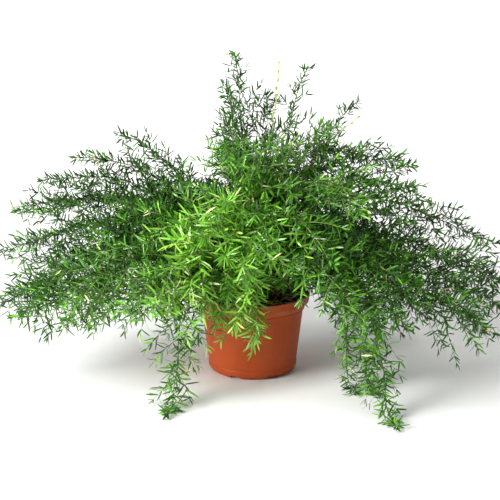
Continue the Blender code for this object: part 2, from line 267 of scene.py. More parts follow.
def potProfile():
    # from the middle of the inner floor, up the inside, over the rim and down the outside; each
    # corner is (radius, height), and the small offsets shape the beads and the soft edges
    collarBottom = pot["height"] - pot["collarHeight"]
    lipBottom = pot["height"] - pot["lipHeight"]
    wall = pot["wall"]
    corners = np.array([
        (0, pot["floor"]),
        (pot["baseRadius"] - wall, pot["floor"]),
        (pot["bodyFoot"] - wall, pot["bandTop"]),
        (pot["bodyTop"] - wall, collarBottom),
        (pot["lipFoot"] - wall, lipBottom),
        (pot["rimRadius"] - wall - 0.2 * mm, pot["height"] - 0.6 * mm),
        (pot["rimRadius"] - wall, pot["height"]),
        (pot["rimRadius"], pot["height"]),
        (pot["rimRadius"] + 0.1 * mm, pot["height"] - 2.6 * mm),  # bead round the rim
        (pot["rimRadius"] - 0.6 * mm, pot["height"] - 3.1 * mm),
        (pot["lipFoot"], lipBottom),
        (pot["collarFoot"] - 0.2 * mm, collarBottom + 1.6 * mm),  # bead at the collar's foot
        (pot["collarFoot"] + 0.4 * mm, collarBottom + 0.9 * mm),
        (pot["collarFoot"] + 0.3 * mm, collarBottom - 0.6 * mm),
        (pot["bodyTop"] - 0.1 * mm, collarBottom - 1.3 * mm),
        (pot["bodyFoot"], pot["bandTop"] + 1.2 * mm),
        (pot["bandRadius"], pot["bandTop"]),  # base band
        (pot["bandRadius"] - 0.9 * mm, 5.5 * mm),
        (pot["baseRadius"] + 3.2 * mm, 1.4 * mm),
        (pot["baseRadius"], 0),
        (0, 0),
    ])
    # the curve's radius at each corner but the first and the last, in mm
    radii = [2, 3, 2, 3, 0.3, 0.5, 0.7, 0.5, 0.3, 3, 0.5, 0.3, 0.4, 0.4, 0.4, 0.4, 1.6, 1.6, 0.5]
    return divided(rounded(corners, np.array(radii) * mm), pot["longestRun"])


def notchCutters():
    # one box for each drainage notch, turned to its heading, all in one mesh
    distance = pot["baseRadius"] - pot["wall"] - pot["notchInset"] + pot["notchDepth"] / 2
    corner = np.array([(x, y, z) for x in (-0.5, 0.5) for y in (-0.5, 0.5) for z in (-1, 1)])
    shape = corner * (pot["notchDepth"], pot["notchWidth"], pot["notchHeight"])
    lean = pot["notchLean"]
    shape[:, 1] *= np.where(shape[:, 2] > 0, 1 - lean, 1 + lean)  # wider below than above
    shape[:, 0] += distance
    sides = np.array([
        (0, 1, 3, 2), (4, 6, 7, 5), (0, 4, 5, 1), (2, 3, 7, 6), (0, 2, 6, 4), (1, 5, 7, 3),
    ])
    points, faces = [], []
    for k in range(pot["notches"]):
        turn = pot["firstNotch"] + k * 2 * math.pi / pot["notches"]
        cosine, sine = math.cos(turn), math.sin(turn)
        points.append(shape @ np.array([[cosine, sine, 0], [-sine, cosine, 0], [0, 0, 1]]))
        faces.append(sides + 8 * k)
    return np.vstack(points), [np.vstack(faces)]


def terracottaPlastic():
    # polypropylene nursery pot, injection moulded, terracotta pigment: a satin orange-brown,
    # faintly mottled, with a fine eggshell grain and a dusting of dried peat on the collar
    finish = {"Roughness": 0.48, "Specular IOR Level": 0.22}
    made, tree, shader = newMaterial("terracottaPolypropylene", finish)
    place = addNode(tree, "TexCoord").outputs["Object"]
    mottle = addNode(tree, "TexNoise", {"Scale": 1 / (38 * mm), "Detail": 4.0}, {"Vector": place})
    base = rampNode(tree, mottle.outputs["Fac"], [(0.3, "#A64418"), (0.7, "#B24B1C")])
    flow = addNode(tree, "Mapping", {"Scale": (1.0, 1.0, 5.0)}, {"Vector": place})
    streak = addNode(tree, "TexNoise", {"Scale": 1 / (15 * mm), "Detail": 6.0},
                     {"Vector": flow.outputs[0]})
    height = addNode(tree, "SeparateXYZ", links={"Vector": place}).outputs["Z"]
    collar = addNode(tree, "MapRange", {
        "From Min": pot["height"] - pot["collarHeight"] - 1 * mm,
        "From Max": pot["height"] - pot["collarHeight"] + 4 * mm,
    }, {"Value": height})
    scuff = addNode(tree, "MapRange", {"From Min": 0.45, "From Max": 0.64, "To Max": 0.7},
                    {"Value": streak.outputs["Fac"]})
    dust = addNode(tree, "Math", {"operation": "MULTIPLY"},
                   {0: collar.outputs[0], 1: scuff.outputs[0]})
    dusty = mixColour(tree, dust.outputs[0], base, paint("#A3623F"))
    # the foot is a little darker towards the bottom
    foot = addNode(tree, "MapRange", {"From Min": 14 * mm, "From Max": 2 * mm, "To Max": 0.3},
                   {"Value": height})
    colour = mixColour(tree, foot.outputs[0], dusty, paint("#8E3C18"))
    tree.links.new(colour, shader.inputs["Base Color"])
    # the moulding's eggshell grain is finer than this, and is drawn as coarse as it shows
    grain = addNode(tree, "TexNoise", {"Scale": 1 / (0.9 * mm), "Detail": 2.0}, {"Vector": place})
    bump = addNode(tree, "Bump", {"Strength": 0.12, "Distance": 0.2 * mm},
                   {"Height": grain.outputs["Fac"]})
    tree.links.new(bump.outputs[0], shader.inputs["Normal"])
    return made


def makePot():
    points, faces = latheGrid(potProfile(), pot["steps"])
    # thin mouldings are never quite round: the radius gains oval*sin(2a) + ripple*sin(5a) at
    # the heading a, growing with height
    turn = np.arctan2(points[:, 1], points[:, 0])
    share = np.clip(points[:, 2] / pot["height"], 0, 1)
    radius = np.hypot(points[:, 0], points[:, 1])
    swell = pot["oval"] * share * np.sin(2 * turn + 0.6) + pot["ripple"] * share * np.sin(5 * turn)
    points[:, :2] *= (1 + swell / np.maximum(radius, 20 * mm))[:, None]
    plastic = terracottaPlastic()
    piece = buildMesh("nurseryPot", points, faces, plastic)
    cutter = buildMesh("notchCutters", *notchCutters(), plastic, smooth=False)
    cut = piece.modifiers.new("notches", "BOOLEAN")
    cut.object = cutter
    cut.solver = "EXACT"
    graph = bpy.context.evaluated_depsgraph_get()
    finished = bpy.data.meshes.new_from_object(piece.evaluated_get(graph))
    piece.modifiers.clear()
    piece.data = finished
    bpy.data.objects.remove(cutter)
    finished.shade_smooth()
    finished.set_sharp_from_angle(angle=pot["sharpAngle"])
    settle(piece, "terracotta_plastic", "nursery_pot")


makePot()
print("nursery pot turned and notched")


mix = {
    "top": 104 * mm,
    "edgeDrop": 5 * mm,  # how much lower the mix lies at the wall
    "gap": 0.4 * mm,  # between the mix and the pot
    "rings": 110,
    "steps": 220,
    "clods": 1.5 * mm,  # height of the larger lumps
    "clodSpacing": 17 * mm,
    "crumbs": 0.7 * mm,
    "crumbSpacing": 4 * mm,
    "hollow": 5 * mm,  # the mix dips under the crown
    "hollowEdge": 10 * mm,  # width of the hollow's slope
    "crumbCount": 1500,
    "crumbSize": (0.7 * mm, 2.3 * mm),
    "fibreCount": 360,
    "fibreLength": (6 * mm, 22 * mm),
    "fibreRadius": (0.3 * mm, 0.85 * mm),
    "fibreBend": 0.8,  # spread of the fibres' curvature
    "fibreTilt": (-0.12, 0.3),  # only those above 0 lift an end off the mix
    "seed": 11,
}
crown = {
    "radius": 36 * mm,
    "rise": 4 * mm,
    "depth": 9 * mm,
    "rings": 44,
    "steps": 120,
    "clearance": 0.6 * mm,  # the wood stays this far within its space
    "knots": 2.2 * mm,  # height of its lumps
    "knotSpacing": 9 * mm,
    "stubs": 46,
    "stubHeight": (3 * mm, 12 * mm),
    "stubRadius": (0.9 * mm, 1.7 * mm),
    "stubTaper": (1.15, 1.0, 0.95, 0.98, 1.02),  # thickest where it leaves the crown
    "stubLean": 0.5,  # outward run for each unit of height, at the crown's edge
    "seed": 21,
}


def peat():
    # moist peat and bark compost: nearly black, with browner crumbs, quite matt
    made, tree, shader = newMaterial("moistPeat", {"Roughness": 0.92, "Specular IOR Level": 0.25})
    place = addNode(tree, "TexCoord").outputs["Object"]
    crumb = addNode(tree, "TexVoronoi", {"Scale": 1 / (2.2 * mm)}, {"Vector": place})
    tone = addNode(tree, "SeparateColor", links={0: crumb.outputs["Color"]}).outputs[0]
    base = rampNode(tree, tone, [
        (0.0, "#120C09"), (0.55, "#1E1510"), (0.85, "#33231A"), (1.0, "#4A3626"),
    ])
    damp = addNode(tree, "TexNoise", {"Scale": 1 / (16 * mm), "Detail": 3.0}, {"Vector": place})
    shade = addNode(tree, "MapRange", {"From Min": 0.35, "From Max": 0.7, "To Max": 0.6},
                    {"Value": damp.outputs["Fac"]})
    colour = mixColour(tree, shade.outputs[0], base, paint("#150F0B"))
    tree.links.new(colour, shader.inputs["Base Color"])
    fine = addNode(tree, "TexNoise", {"Scale": 1 / (0.8 * mm), "Detail": 4.0}, {"Vector": place})
    bump = addNode(tree, "Bump", {"Strength": 0.8, "Distance": 0.5 * mm},
                   {"Height": fine.outputs["Fac"]})
    tree.links.new(bump.outputs[0], shader.inputs["Normal"])
    return made


def innerRadius(height):
    # the pot's inside follows its taper, slant and lip, one wall's thickness in
    corners = pot["height"] - np.array([pot["collarHeight"], pot["lipHeight"], 0])
    radii = [pot["bodyFoot"], pot["bodyTop"], pot["lipFoot"], pot["rimRadius"]]
    return np.interp(height, [pot["bandTop"], *corners], radii) - pot["wall"]


def mixHeight(x, y):
    # the mix's level: top - edgeDrop*(r/edge)^2, plus lumps of two sizes, less a hollow under
    # the crown
    flat = np.stack([x, y, np.zeros_like(x)], -1)
    radius = np.hypot(x, y)
    edge = innerRadius(mix["top"])
    level = mix["top"] - mix["edgeDrop"] * (radius / edge) ** 2
    lumps = mix["clods"] * waves(flat, 3, mix["clodSpacing"]) * 0.5
    lumps = lumps + mix["crumbs"] * waves(flat, 4, mix["crumbSpacing"], 40)
    slope = (crown["radius"] + 2 * mm - radius) / mix["hollowEdge"]
    return level + lumps - mix["hollow"] * np.clip(slope, 0, 1)


def makeMix():
    # the surface is a disc of rings with mixHeight; the side and the underside follow the pot
    edge = innerRadius(mix["top"] - mix["edgeDrop"]) - mix["gap"]
    radii = edge * np.linspace(0, 1, mix["rings"])[1:]
    low = pot["floor"] + mix["gap"]
    collarBottom = pot["height"] - pot["collarHeight"]
    outline = [(0, mix["top"])] + [(r, mix["top"]) for r in radii]
    outline += [
        (innerRadius(collarBottom) - mix["gap"], collarBottom),
        (innerRadius(pot["bandTop"]) - mix["gap"], pot["bandTop"]),
        (pot["baseRadius"] - pot["wall"] - 2 * mix["gap"], low),
        (0, low),
    ]
    points, faces = latheGrid(np.array(outline), mix["steps"])
    surface = points[:, 2] > mix["top"] - 0.01 * mm
    points[surface, 2] = mixHeight(points[surface, 0], points[surface, 1])
    piece = buildMesh("pottingMix", points, faces, peat())
    settle(piece, "potting_mix", "potting_mix")


def lumpShapes(centres, sizes, draw):
    # each crumb is an octahedron split once, its points pushed in and out at random
    core = np.array([(1, 0, 0), (-1, 0, 0), (0, 1, 0), (0, -1, 0), (0, 0, 1), (0, 0, -1)], float)
    sides = [(0, 2, 4), (2, 1, 4), (1, 3, 4), (3, 0, 4), (2, 0, 5), (1, 2, 5), (3, 1, 5), (0, 3, 5)]
    edges = sorted({tuple(sorted(pair)) for a, b, c in sides for pair in ((a, b), (b, c), (c, a))})
    middle = {pair: 6 + k for k, pair in enumerate(edges)}
    ball = np.vstack([core, unit(np.array([core[a] + core[b] for a, b in edges]))])
    faces = []
    for a, b, c in sides:
        ab, bc, ca = (middle[tuple(sorted(pair))] for pair in ((a, b), (b, c), (c, a)))
        faces += [(a, ab, ca), (ab, b, bc), (ca, bc, c), (ab, bc, ca)]
    count = len(centres)
    rough = draw.uniform(0.72, 1.2, (count, len(ball), 1))
    squash = draw.uniform(0.55, 1.1, (count, 1, 3))
    points = centres[:, None] + ball[None] * rough * squash * sizes[:, None, None]
    numbers = np.arange(count)[:, None, None] * len(ball) + np.array(faces)[None]
    return points.reshape(-1, 3), [numbers.reshape(-1, 3)]


def makeCrumbs():
    # crumbs of bark and peat lying about the crown, no nearer the wall than a crumb's width
    draw = np.random.default_rng(mix["seed"])
    x, y = scatter(draw, mix["crumbCount"], crown["radius"] * 0.7, innerRadius(mix["top"]) - 3 * mm)
    sizes = draw.uniform(*mix["crumbSize"], len(x)) * draw.uniform(0.5, 1, len(x))
    centres = np.stack([x, y, mixHeight(x, y) + sizes * 0.35], -1)  # each sits a little proud
    points, faces = lumpShapes(centres, sizes, draw)
    piece = buildMesh("barkCrumbs", points, faces, bpy.data.materials["moistPeat"], smooth=False)
    settle(piece, "potting_mix")


makeMix()
makeCrumbs()
print("potting mix filled, with", mix["crumbCount"], "crumbs on top")


def straw():
    # coir and straw fibres in the mix: dry, tan to brown along and between them
    made, tree, shader = newMaterial("coirFibre", {"Roughness": 0.75})
    place = addNode(tree, "TexCoord").outputs["Object"]
    tone = addNode(tree, "TexNoise", {"Scale": 1 / (9 * mm), "Detail": 2.0}, {"Vector": place})
    colour = rampNode(tree, tone.outputs["Fac"], [
        (0.35, "#8A6236"), (0.5, "#CFA363"), (0.65, "#F0DAAC"),
    ])
    tree.links.new(colour, shader.inputs["Base Color"])
    return made


def bark():
    # the crown's old wood: grey-brown, split into short fibrous plates, matt
    made, tree, shader = newMaterial("crownBark", {"Roughness": 0.85, "Specular IOR Level": 0.3})
    place = addNode(tree, "TexCoord").outputs["Object"]
    plates = addNode(tree, "TexVoronoi", {"Scale": 1 / (5 * mm), "feature": "DISTANCE_TO_EDGE"},
                     {"Vector": place})
    tone = addNode(tree, "TexNoise", {"Scale": 1 / (7 * mm), "Detail": 5.0}, {"Vector": place})
    base = rampNode(tree, tone.outputs["Fac"], [
        (0.3, "#2E2117"), (0.5, "#5B4630"), (0.7, "#8A7352"),
    ])
    crack = addNode(tree, "MapRange", {"From Max": 0.12, "To Min": 0.8, "To Max": 0.0},
                    {"Value": plates.outputs[0]})
    colour = mixColour(tree, crack.outputs[0], base, paint("#1B130D"))
    tree.links.new(colour, shader.inputs["Base Color"])
    bump = addNode(tree, "Bump", {"Strength": 0.9, "Distance": 0.8 * mm},
                   {"Height": plates.outputs[0]})
    tree.links.new(bump.outputs[0], shader.inputs["Normal"])
    return made


def makeCrown():
    # a low dome of height crownTop(r) with knotty lumps that die out at its edge, and a
    # lens-shaped underside sunk in the mix
    edge = crown["radius"] - crown["clearance"]
    radii = edge * np.linspace(0, 1, crown["rings"])[1:]
    outline = [(0, mix["top"])] + [(r, mix["top"]) for r in radii]
    outline += [
        (0.7 * edge, mix["top"] - 0.7 * crown["depth"] + crown["clearance"]),
        (0, mix["top"] - crown["depth"] + crown["clearance"]),
    ]
    points, faces = latheGrid(np.array(outline), crown["steps"])
    surface = points[:, 2] > mix["top"] - 0.01 * mm
    reach = np.hypot(points[surface, 0], points[surface, 1]) / edge
    spacing = crown["knotSpacing"]
    lumps = waves(points[surface] * (1, 1, 0), 31, spacing, 30)
    lumps = lumps + 0.4 * waves(points[surface], 32, spacing / 3, 30)
    dome = mix["top"] + crown["rise"] * (1 - reach ** 2)
    points[surface, 2] = dome + crown["knots"] * (lumps - 0.3) * np.clip((1 - reach) * 5, 0, 1)
    settle(buildMesh("rootCrown", points, faces, bark()), "woody_crown", "root_crown")

    # the stubs of cut stems, leaning outwards
    draw = np.random.default_rng(crown["seed"])
    count = crown["stubs"]
    x, y = scatter(draw, count, 4 * mm, 0.93 * edge)
    foot = np.stack([x, y, np.full(count, mix["top"] - 1 * mm)], -1)
    height = draw.uniform(*crown["stubHeight"], count)[:, None] + crown["rise"]
    lean = np.stack([x, y], -1) / edge * crown["stubLean"]
    lean = lean + draw.normal(scale=0.12, size=(count, 2))
    top = foot + np.concatenate([lean * height, height], -1)
    t = np.linspace(0, 1, 5)[None, :, None]
    thickness = draw.uniform(*crown["stubRadius"], count)[:, None] * crown["stubTaper"]
    points, faces, *_ = sweep(foot[:, None] * (1 - t) + top[:, None] * t, thickness, 8)
    settle(buildMesh("oldStemStubs", points, faces, straw()), "woody_crown")
    print("crown shaped, with", count, "old stubs")


def makeFibres():
    # loose coir and straw: arcs lying on the mix, x = L*t along and bend*L*t*t across
    draw = np.random.default_rng(mix["seed"] + 1)
    count = mix["fibreCount"]
    edge = innerRadius(mix["top"])
    x, y = scatter(draw, count, 0.85 * crown["radius"], edge - 4 * mm)
    turn = draw.uniform(0, 2 * math.pi, count)[:, None]
    length = draw.uniform(*mix["fibreLength"], count)[:, None]
    bend = draw.normal(scale=mix["fibreBend"], size=(count, 1))
    t = np.linspace(-0.5, 0.5, 8)[None]
    alongArc, acrossArc = length * t, bend * length * t ** 2
    px = x[:, None] + alongArc * np.cos(turn) - acrossArc * np.sin(turn)
    py = y[:, None] + alongArc * np.sin(turn) + acrossArc * np.cos(turn)
    inward = np.minimum(1, (edge - 2.5 * mm) / np.hypot(px, py))  # none reaches the wall
    px, py = px * inward, py * inward
    tilt = draw.uniform(*mix["fibreTilt"], (count, 1)) * length * (t + 0.5) ** 2
    pz = mixHeight(px, py) + 0.6 * mm + np.maximum(tilt, 0)
    thickness = draw.uniform(*mix["fibreRadius"], count)[:, None] * (1 - 1.2 * t ** 2)
    points, faces, *_ = sweep(np.stack([px, py, pz], -1), thickness, 5)
    settle(buildMesh("coirFibres", points, faces, bpy.data.materials["coirFibre"]), "potting_mix")
    print("fibres strewn:", count)


makeCrown()
makeFibres()


blade = {
    "stations": np.array([0.14, 0.48, 0.82]),  # shares of its length with a full section
    "widths": np.array([0.72, 1.0, 0.7]),
    "ridge": 0.24,  # height of the ridge as a share of half the width
}


def blades(base, along, facing, length, width, curl):
    # needle leaves: centre = base + along*L*t + facing*curl*L*t*t; the section is a flat
    # triangle, ridge up, whose width follows the blade's widths, with a point at both ends
    facing = unit(facing - along * (facing * along).sum(-1, keepdims=True))
    across = np.cross(along, facing)
    t = blade["stations"][None, :, None]
    reach = length[:, None, None]
    bend = (curl * length)[:, None, None]
    centre = base[:, None] + along[:, None] * reach * t + facing[:, None] * bend * t ** 2
    half = (width[:, None] * blade["widths"] / 2)[..., None]
    sideways = across[:, None] * half
    ridge = facing[:, None] * half * blade["ridge"]
    rings = np.stack([centre + sideways, centre + ridge, centre - sideways], 2)
    tips = base + along * length[:, None] + facing * (curl * length)[:, None]
    points = np.concatenate([base[:, None], rings.reshape(len(base), -1, 3), tips[:, None]], 1)
    faces = tubeFaces(3, 3, 1, 0, 10, len(base))
    share = np.concatenate([[0], np.repeat(blade["stations"], 3), [1]])
    around = np.concatenate([[0], np.tile([1, 0, -1], 3), [0]])
    return points.reshape(-1, 3), faces, share, around


# The arching fronds' routes: the radius of their feet's ring on the crown, then for each one
# its heading in degrees (0 is +X, 90 is +Y), reach, height half way and tip height in mm, droop
# at the tip, sway in mm, how fresh the growth is, from 0 (old and dark) to 1 (young), and how
# full it is.
crownRings = (
    (8, (
        (28, 92, 270, 408, 0.3, 6, 0.22, 0.65),
        (75, 60, 262, 372, 0.3, -8, 0.2, 1.3),
        (108, 70, 285, 424, 0.2, 6, 0.22, 1.05),
        (140, 45, 250, 350, 0.3, 6, 0.25, 1.0),
        (200, 36, 262, 392, 0.2, -4, 0.3, 0.8),
        (232, 75, 235, 318, 0.5, 8, 0.5, 1.35),
        (280, 95, 240, 325, 0.5, 8, 0.5, 1.35),
        (347, 105, 250, 335, 0.4, -8, 0.4, 1.4),
    )),
    (17, (
        (3, 218, 280, 275, 0.5, 8, 0.3, 1.0),
        (16, 150, 258, 362, -0.4, 8, 0.22, 0.6),
        (38, 190, 285, 275, 0.5, -8, 0.25, 0.85),
        (92, 190, 265, 210, 0.7, -10, 0.25, 1.1),
        (128, 200, 240, 190, 0.6, 10, 0.25, 0.95),
        (150, 225, 232, 195, 0.5, -8, 0.25, 0.85),
        (167, 250, 250, 285, 0.1, 8, 0.25, 0.8),
        (181, 178, 252, 322, 0.0, -6, 0.25, 0.95),
        (196, 200, 226, 205, 0.6, 8, 0.35, 0.9),
        (214, 170, 220, 190, 0.7, -8, 0.6, 0.8),
        (232, 158, 226, 172, 0.8, 6, 0.95, 1.05),
        (248, 140, 240, 215, 0.7, -8, 0.7, 1.05),
        (264, 140, 215, 160, 0.9, 6, 0.7, 1.0),
        (281, 150, 232, 185, 0.8, -10, 0.5, 1.0),
        (302, 165, 235, 190, 0.8, 8, 0.45, 1.05),
        (322, 185, 262, 245, 0.6, -8, 0.4, 1.3),
        (345, 232, 268, 246, 0.5, 8, 0.3, 1.45),
    )),
    (26, (
        (352, 345, 200, 132, 0.4, -6, 0.26, 1.55),
        (1, 325, 238, 176, 0.4, 6, 0.25, 0.8),
        (24, 250, 190, 100, 1.0, 10, 0.25, 1.6),
        (48, 265, 205, 115, 0.7, -8, 0.25, 1.2),
        (84, 235, 195, 105, 0.8, 10, 0.25, 1.1),
        (118, 250, 200, 110, 0.7, -10, 0.25, 1.1),
        (142, 285, 205, 125, 0.6, 8, 0.25, 1.2),
        (156, 342, 214, 190, 0.4, -8, 0.2, 0.95),
        (168, 338, 224, 208, 0.35, 8, 0.2, 1.4),
        (173, 292, 244, 256, 0.2, -4, 0.2, 0.7),
        (180, 342, 210, 162, 0.4, 6, 0.25, 1.35),
        (187, 330, 188, 112, 0.5, -6, 0.25, 1.2),
        (194, 343, 180, 112, 0.5, 8, 0.26, 1.4),
        (201, 322, 168, 104, 0.5, -8, 0.35, 1.4),
        (208, 270, 188, 132, 0.6, 8, 0.4, 1.35),
        (215, 285, 162, 110, 0.5, -6, 0.4, 1.05),
        (225, 235, 172, 132, 0.6, 8, 0.45, 1.3),
        (237, 195, 168, 128, 0.7, -6, 0.85, 1.2),
        (250, 120, 176, 98, 1.7, -6, 0.75, 0.95),
        (271, 108, 168, 80, 2.0, 5, 0.85, 1.3),
        (309, 225, 178, 120, 0.7, -8, 0.4, 1.0),
        (317, 252, 172, 108, 0.5, 8, 0.35, 1.15),
        (327, 245, 190, 130, 0.6, -6, 0.35, 1.2),
        (334, 335, 168, 92, 0.45, 8, 0.26, 1.5),
        (343, 340, 188, 112, 0.45, -6, 0.26, 1.5),
    )),
)
# trailing fronds: the foot's heading and distance from the axis, freshness, fullness, and the
# points of the route
trailing = (
    (232, 33, 0.4, 0.8, ((-58, -80, 166), (-86, -122, 132), (-94, -140, 70),
                         (-99, -152, 18), (-102, -168, 5), (-104, -192, 5))),
    (294, 33, 0.4, 0.5, ((52, -62, 158), (92, -84, 138), (118, -86, 84),
                         (125, -86, 22), (129, -94, 5), (135, -112, 5))),
    (310, 33, 0.45, 0.7, ((70, -55, 166), (114, -76, 142), (140, -86, 84),
                          (148, -86, 22), (152, -96, 5), (160, -114, 5))),
    (324, 33, 0.4, 0.8, ((84, -84, 178), (134, -138, 140), (156, -174, 72),
                         (163, -188, 17), (167, -206, 5), (171, -232, 5))),
)

fern = {
    "stemRadius": 1.25 * mm,
    "stemTip": 0.45 * mm,
    "stemWobble": 1.1 * mm,
    "stemRingEvery": 4 * mm,
    "bareShare": 0.11,  # lower share of a stem with no branchlets
    "spiral": math.radians(137.5),  # turn from one branchlet to the next round the stem
    "branchEvery": 8.4 * mm,
    "branchLength": 62 * mm,
    "branchSize": ((0, 0.15, 0.45, 0.78, 0.9, 1), (0.85, 0.95, 1, 0.64, 0.2, 0.1)),
    "branchLean": ((0, 0.2, 1), (92, 62, 40)),  # degrees from the stem at shares along it
    "branchFlatten": 0.75,  # branchlets spread wider than they stand
    "branchRadius": 0.45 * mm,
    "branchSag": (0.08, 0.3),  # as a share of its length
    "branchTurn": 0.16,  # how far it turns back towards the stem's direction
    "nodeEvery": 5.1 * mm,  # leaf clusters along a branchlet
    "leafSpread": ((0, 0.8, 1), (70, 60, 30)),  # degrees from the branchlet
    "leafFlatten": 0.8,
    "leafSize": ((0, 0.2, 0.75, 1), (0.8, 1.05, 1.0, 0.68)),
    "leafLength": (13.0 * mm, 23.5 * mm),  # in the oldest growth and in the freshest
    "leafWidth": (2.0 * mm, 2.7 * mm),
    "leafCurl": (-0.14, 0.26),  # least and most in the oldest growth, as a share of its length
    "freshCurl": 0.3,  # what the freshest growth adds either way
    "missingShare": 0.12,  # leaves that have dropped
    "stemLeafEvery": 4.6 * mm,  # leaf clusters on the stem itself
    "openAcross": (8 * mm, 62 * mm),  # the place at the front right where the mix shows
    "openBack": -12 * mm,
    "openTop": 128 * mm,
    "openRise": -0.24,  # its top rises towards the front
    "stemBand": 0.06,  # the part of the colour map's width that holds stem colours
    "youngFrom": 0.37,  # a frond fresher than this has the young leaves' finish
    "toneStart": 0.1,  # the oldest growth's place on the leaf tones' ramp
    "toneRise": 0.62,  # from there to the freshest growth's
    "toneSpread": 0.1,  # from leaf to leaf
    "tonePatches": 0.05,  # from one part of a frond to another
    "dryShare": 0.0015,  # leaves dried tan
    "creamShare": 0.03,  # leaves still cream-coloured in the freshest growth
    "leafTones": [
        (0.07, "#153006"), (0.25, "#264E08"), (0.42, "#4A881E"), (0.6, "#7CC036"),
        (0.78, "#A0D048"), (0.93, "#E2E9A4"), (0.96, "#C8B27C"),
    ],
    "youngStem": [(0.0, "#6B5A34"), (0.18, "#8C8A4A"), (0.55, "#93AC54"), (1.0, "#84AA48")],
    "matureStem": [(0.0, "#54452A"), (0.18, "#66682E"), (0.55, "#466E26"), (1.0, "#35601C")],
}
arch = {
    "riseOut": 0.13,  # share of the reach at which the second Bezier point stands
    "fallOut": 0.68,  # and the third
    "fallSway": 0.2,
    "droopRise": 0.32,  # height of the third point over the tip, for each unit of droop
    "steps": 161,
}
clearance = {
    "floorSoftness": 3.5 * mm,  # below this height points settle softly onto the floor
    "wallGap": 1.2 * mm,
    "reachIn": 6 * mm,  # a point no further than this inside the wall is pushed out
}


def crownTop(radius):
    # the dome's height, rise*(1 - (r/radius)^2) above the mix
    return mix["top"] + crown["rise"] * max(0.0, 1 - (radius / crown["radius"]) ** 2)


def footOn(radius, heading):
    # a stem's foot on the crown, at its ring's radius and its heading
    return np.array([radius * math.cos(heading), radius * math.sin(heading), crownTop(radius)])


def archingPath(foot, row):
    # cubic Bezier, (1-t)^3*foot + 3(1-t)^2*t*rising + 3(1-t)*t^2*falling + t^3*tip: the falling
    # point lies back from the tip along its droop, and the rising one puts the middle at its
    # height
    heading = math.radians(row[0])
    reach, middle, tipHeight = (value * mm for value in row[1:4])
    droop, sway = row[4], row[5] * mm
    ahead = np.array([math.cos(heading), math.sin(heading), 0])
    aside = np.array([-math.sin(heading), math.cos(heading), 0])
    fallingHeight = tipHeight + arch["droopRise"] * reach * droop
    risingHeight = (8 * middle - foot[2] - tipHeight) / 3 - fallingHeight
    rising = foot * (1, 1, 0) + ahead * reach * arch["riseOut"] + up * risingHeight
    falling = ahead * reach * arch["fallOut"] + aside * sway * arch["fallSway"] + up * fallingHeight
    tip = ahead * reach + aside * sway + up * tipHeight
    t = np.linspace(0, 1, arch["steps"])[:, None]
    rest = 1 - t
    return (rest ** 3 * foot + 3 * rest ** 2 * t * rising
            + 3 * rest * t ** 2 * falling + t ** 3 * tip)


def trailingPath(foot, route):
    # Catmull-Rom curve through the foot and the route's points: between b and c it is
    # b + t*(c-a)/2 + t^2*(a-2.5b+2c-d/2) + t^3*(1.5(b-c)+(d-a)/2); it leaves the foot upwards
    knots = np.vstack([foot, np.array(route) * mm])
    before = 2 * knots[0] - knots[1] - up * 40 * mm
    knots = np.vstack([before, knots, 2 * knots[-1] - knots[-2]])
    t = np.linspace(0, 1, 24, endpoint=False)[:, None]
    spans = [
        b + 0.5 * t * (c - a) + t ** 2 * (a - 2.5 * b + 2 * c - 0.5 * d)
        + t ** 3 * (1.5 * (b - c) + 0.5 * (d - a))
        for a, b, c, d in zip(knots, knots[1:], knots[2:], knots[3:])
    ]
    return np.vstack(spans + [knots[-2][None]])


def evenPath(path, spacing):
    # the same curve with points evenly spaced by distance
    run = np.concatenate([[0], np.cumsum(np.linalg.norm(np.diff(path, axis=0), axis=1))])
    count = max(8, int(round(run[-1] / spacing)))
    stations = np.linspace(0, run[-1], count)
    return np.stack([np.interp(stations, run, path[:, k]) for k in range(3)], -1), run[-1]


def clearOfSurfaces(points):
    # points below the softness s go to s*exp((z-s)/s), which never passes the floor; those near
    # the pot's wall stay outside it and those within it above the mix
    soft = clearance["floorSoftness"]
    z = points[:, 2]
    z = np.where(z < soft, soft * np.exp((np.minimum(z, soft) - soft) / soft), z)
    radius = np.maximum(np.hypot(points[:, 0], points[:, 1]), 1e-6)
    corners = pot["height"] - np.array([pot["height"], pot["collarHeight"], pot["lipHeight"], 0])
    radii = [pot[key] for key in ("bandRadius", "collarFoot", "lipFoot", "rimRadius")]
    wall = np.interp(z, corners, radii) + clearance["wallGap"]
    belowRim = z < pot["height"] + 1 * mm
    outside = radius > wall - clearance["reachIn"]
    pushed = np.where(belowRim & outside, np.maximum(radius, wall), radius)
    inside = belowRim & ~outside
    z = np.where(inside, np.maximum(z, mix["top"] - 1 * mm), z)
    points[:, :2] *= (pushed / radius)[:, None]
    points[:, 2] = z
    return points


def pathPoint(path, share):
    # the points, and the directions there, at shares of an evenly spaced path
    place = np.clip(share, 0, 1) * (len(path) - 1)
    low = np.minimum(place.astype(int), len(path) - 2)
    part = (place - low)[:, None]
    along = unit(np.gradient(path, axis=0))
    direction = unit(along[low] * (1 - part) + along[low + 1] * part)
    return path[low] * (1 - part) + path[low + 1] * part, direction


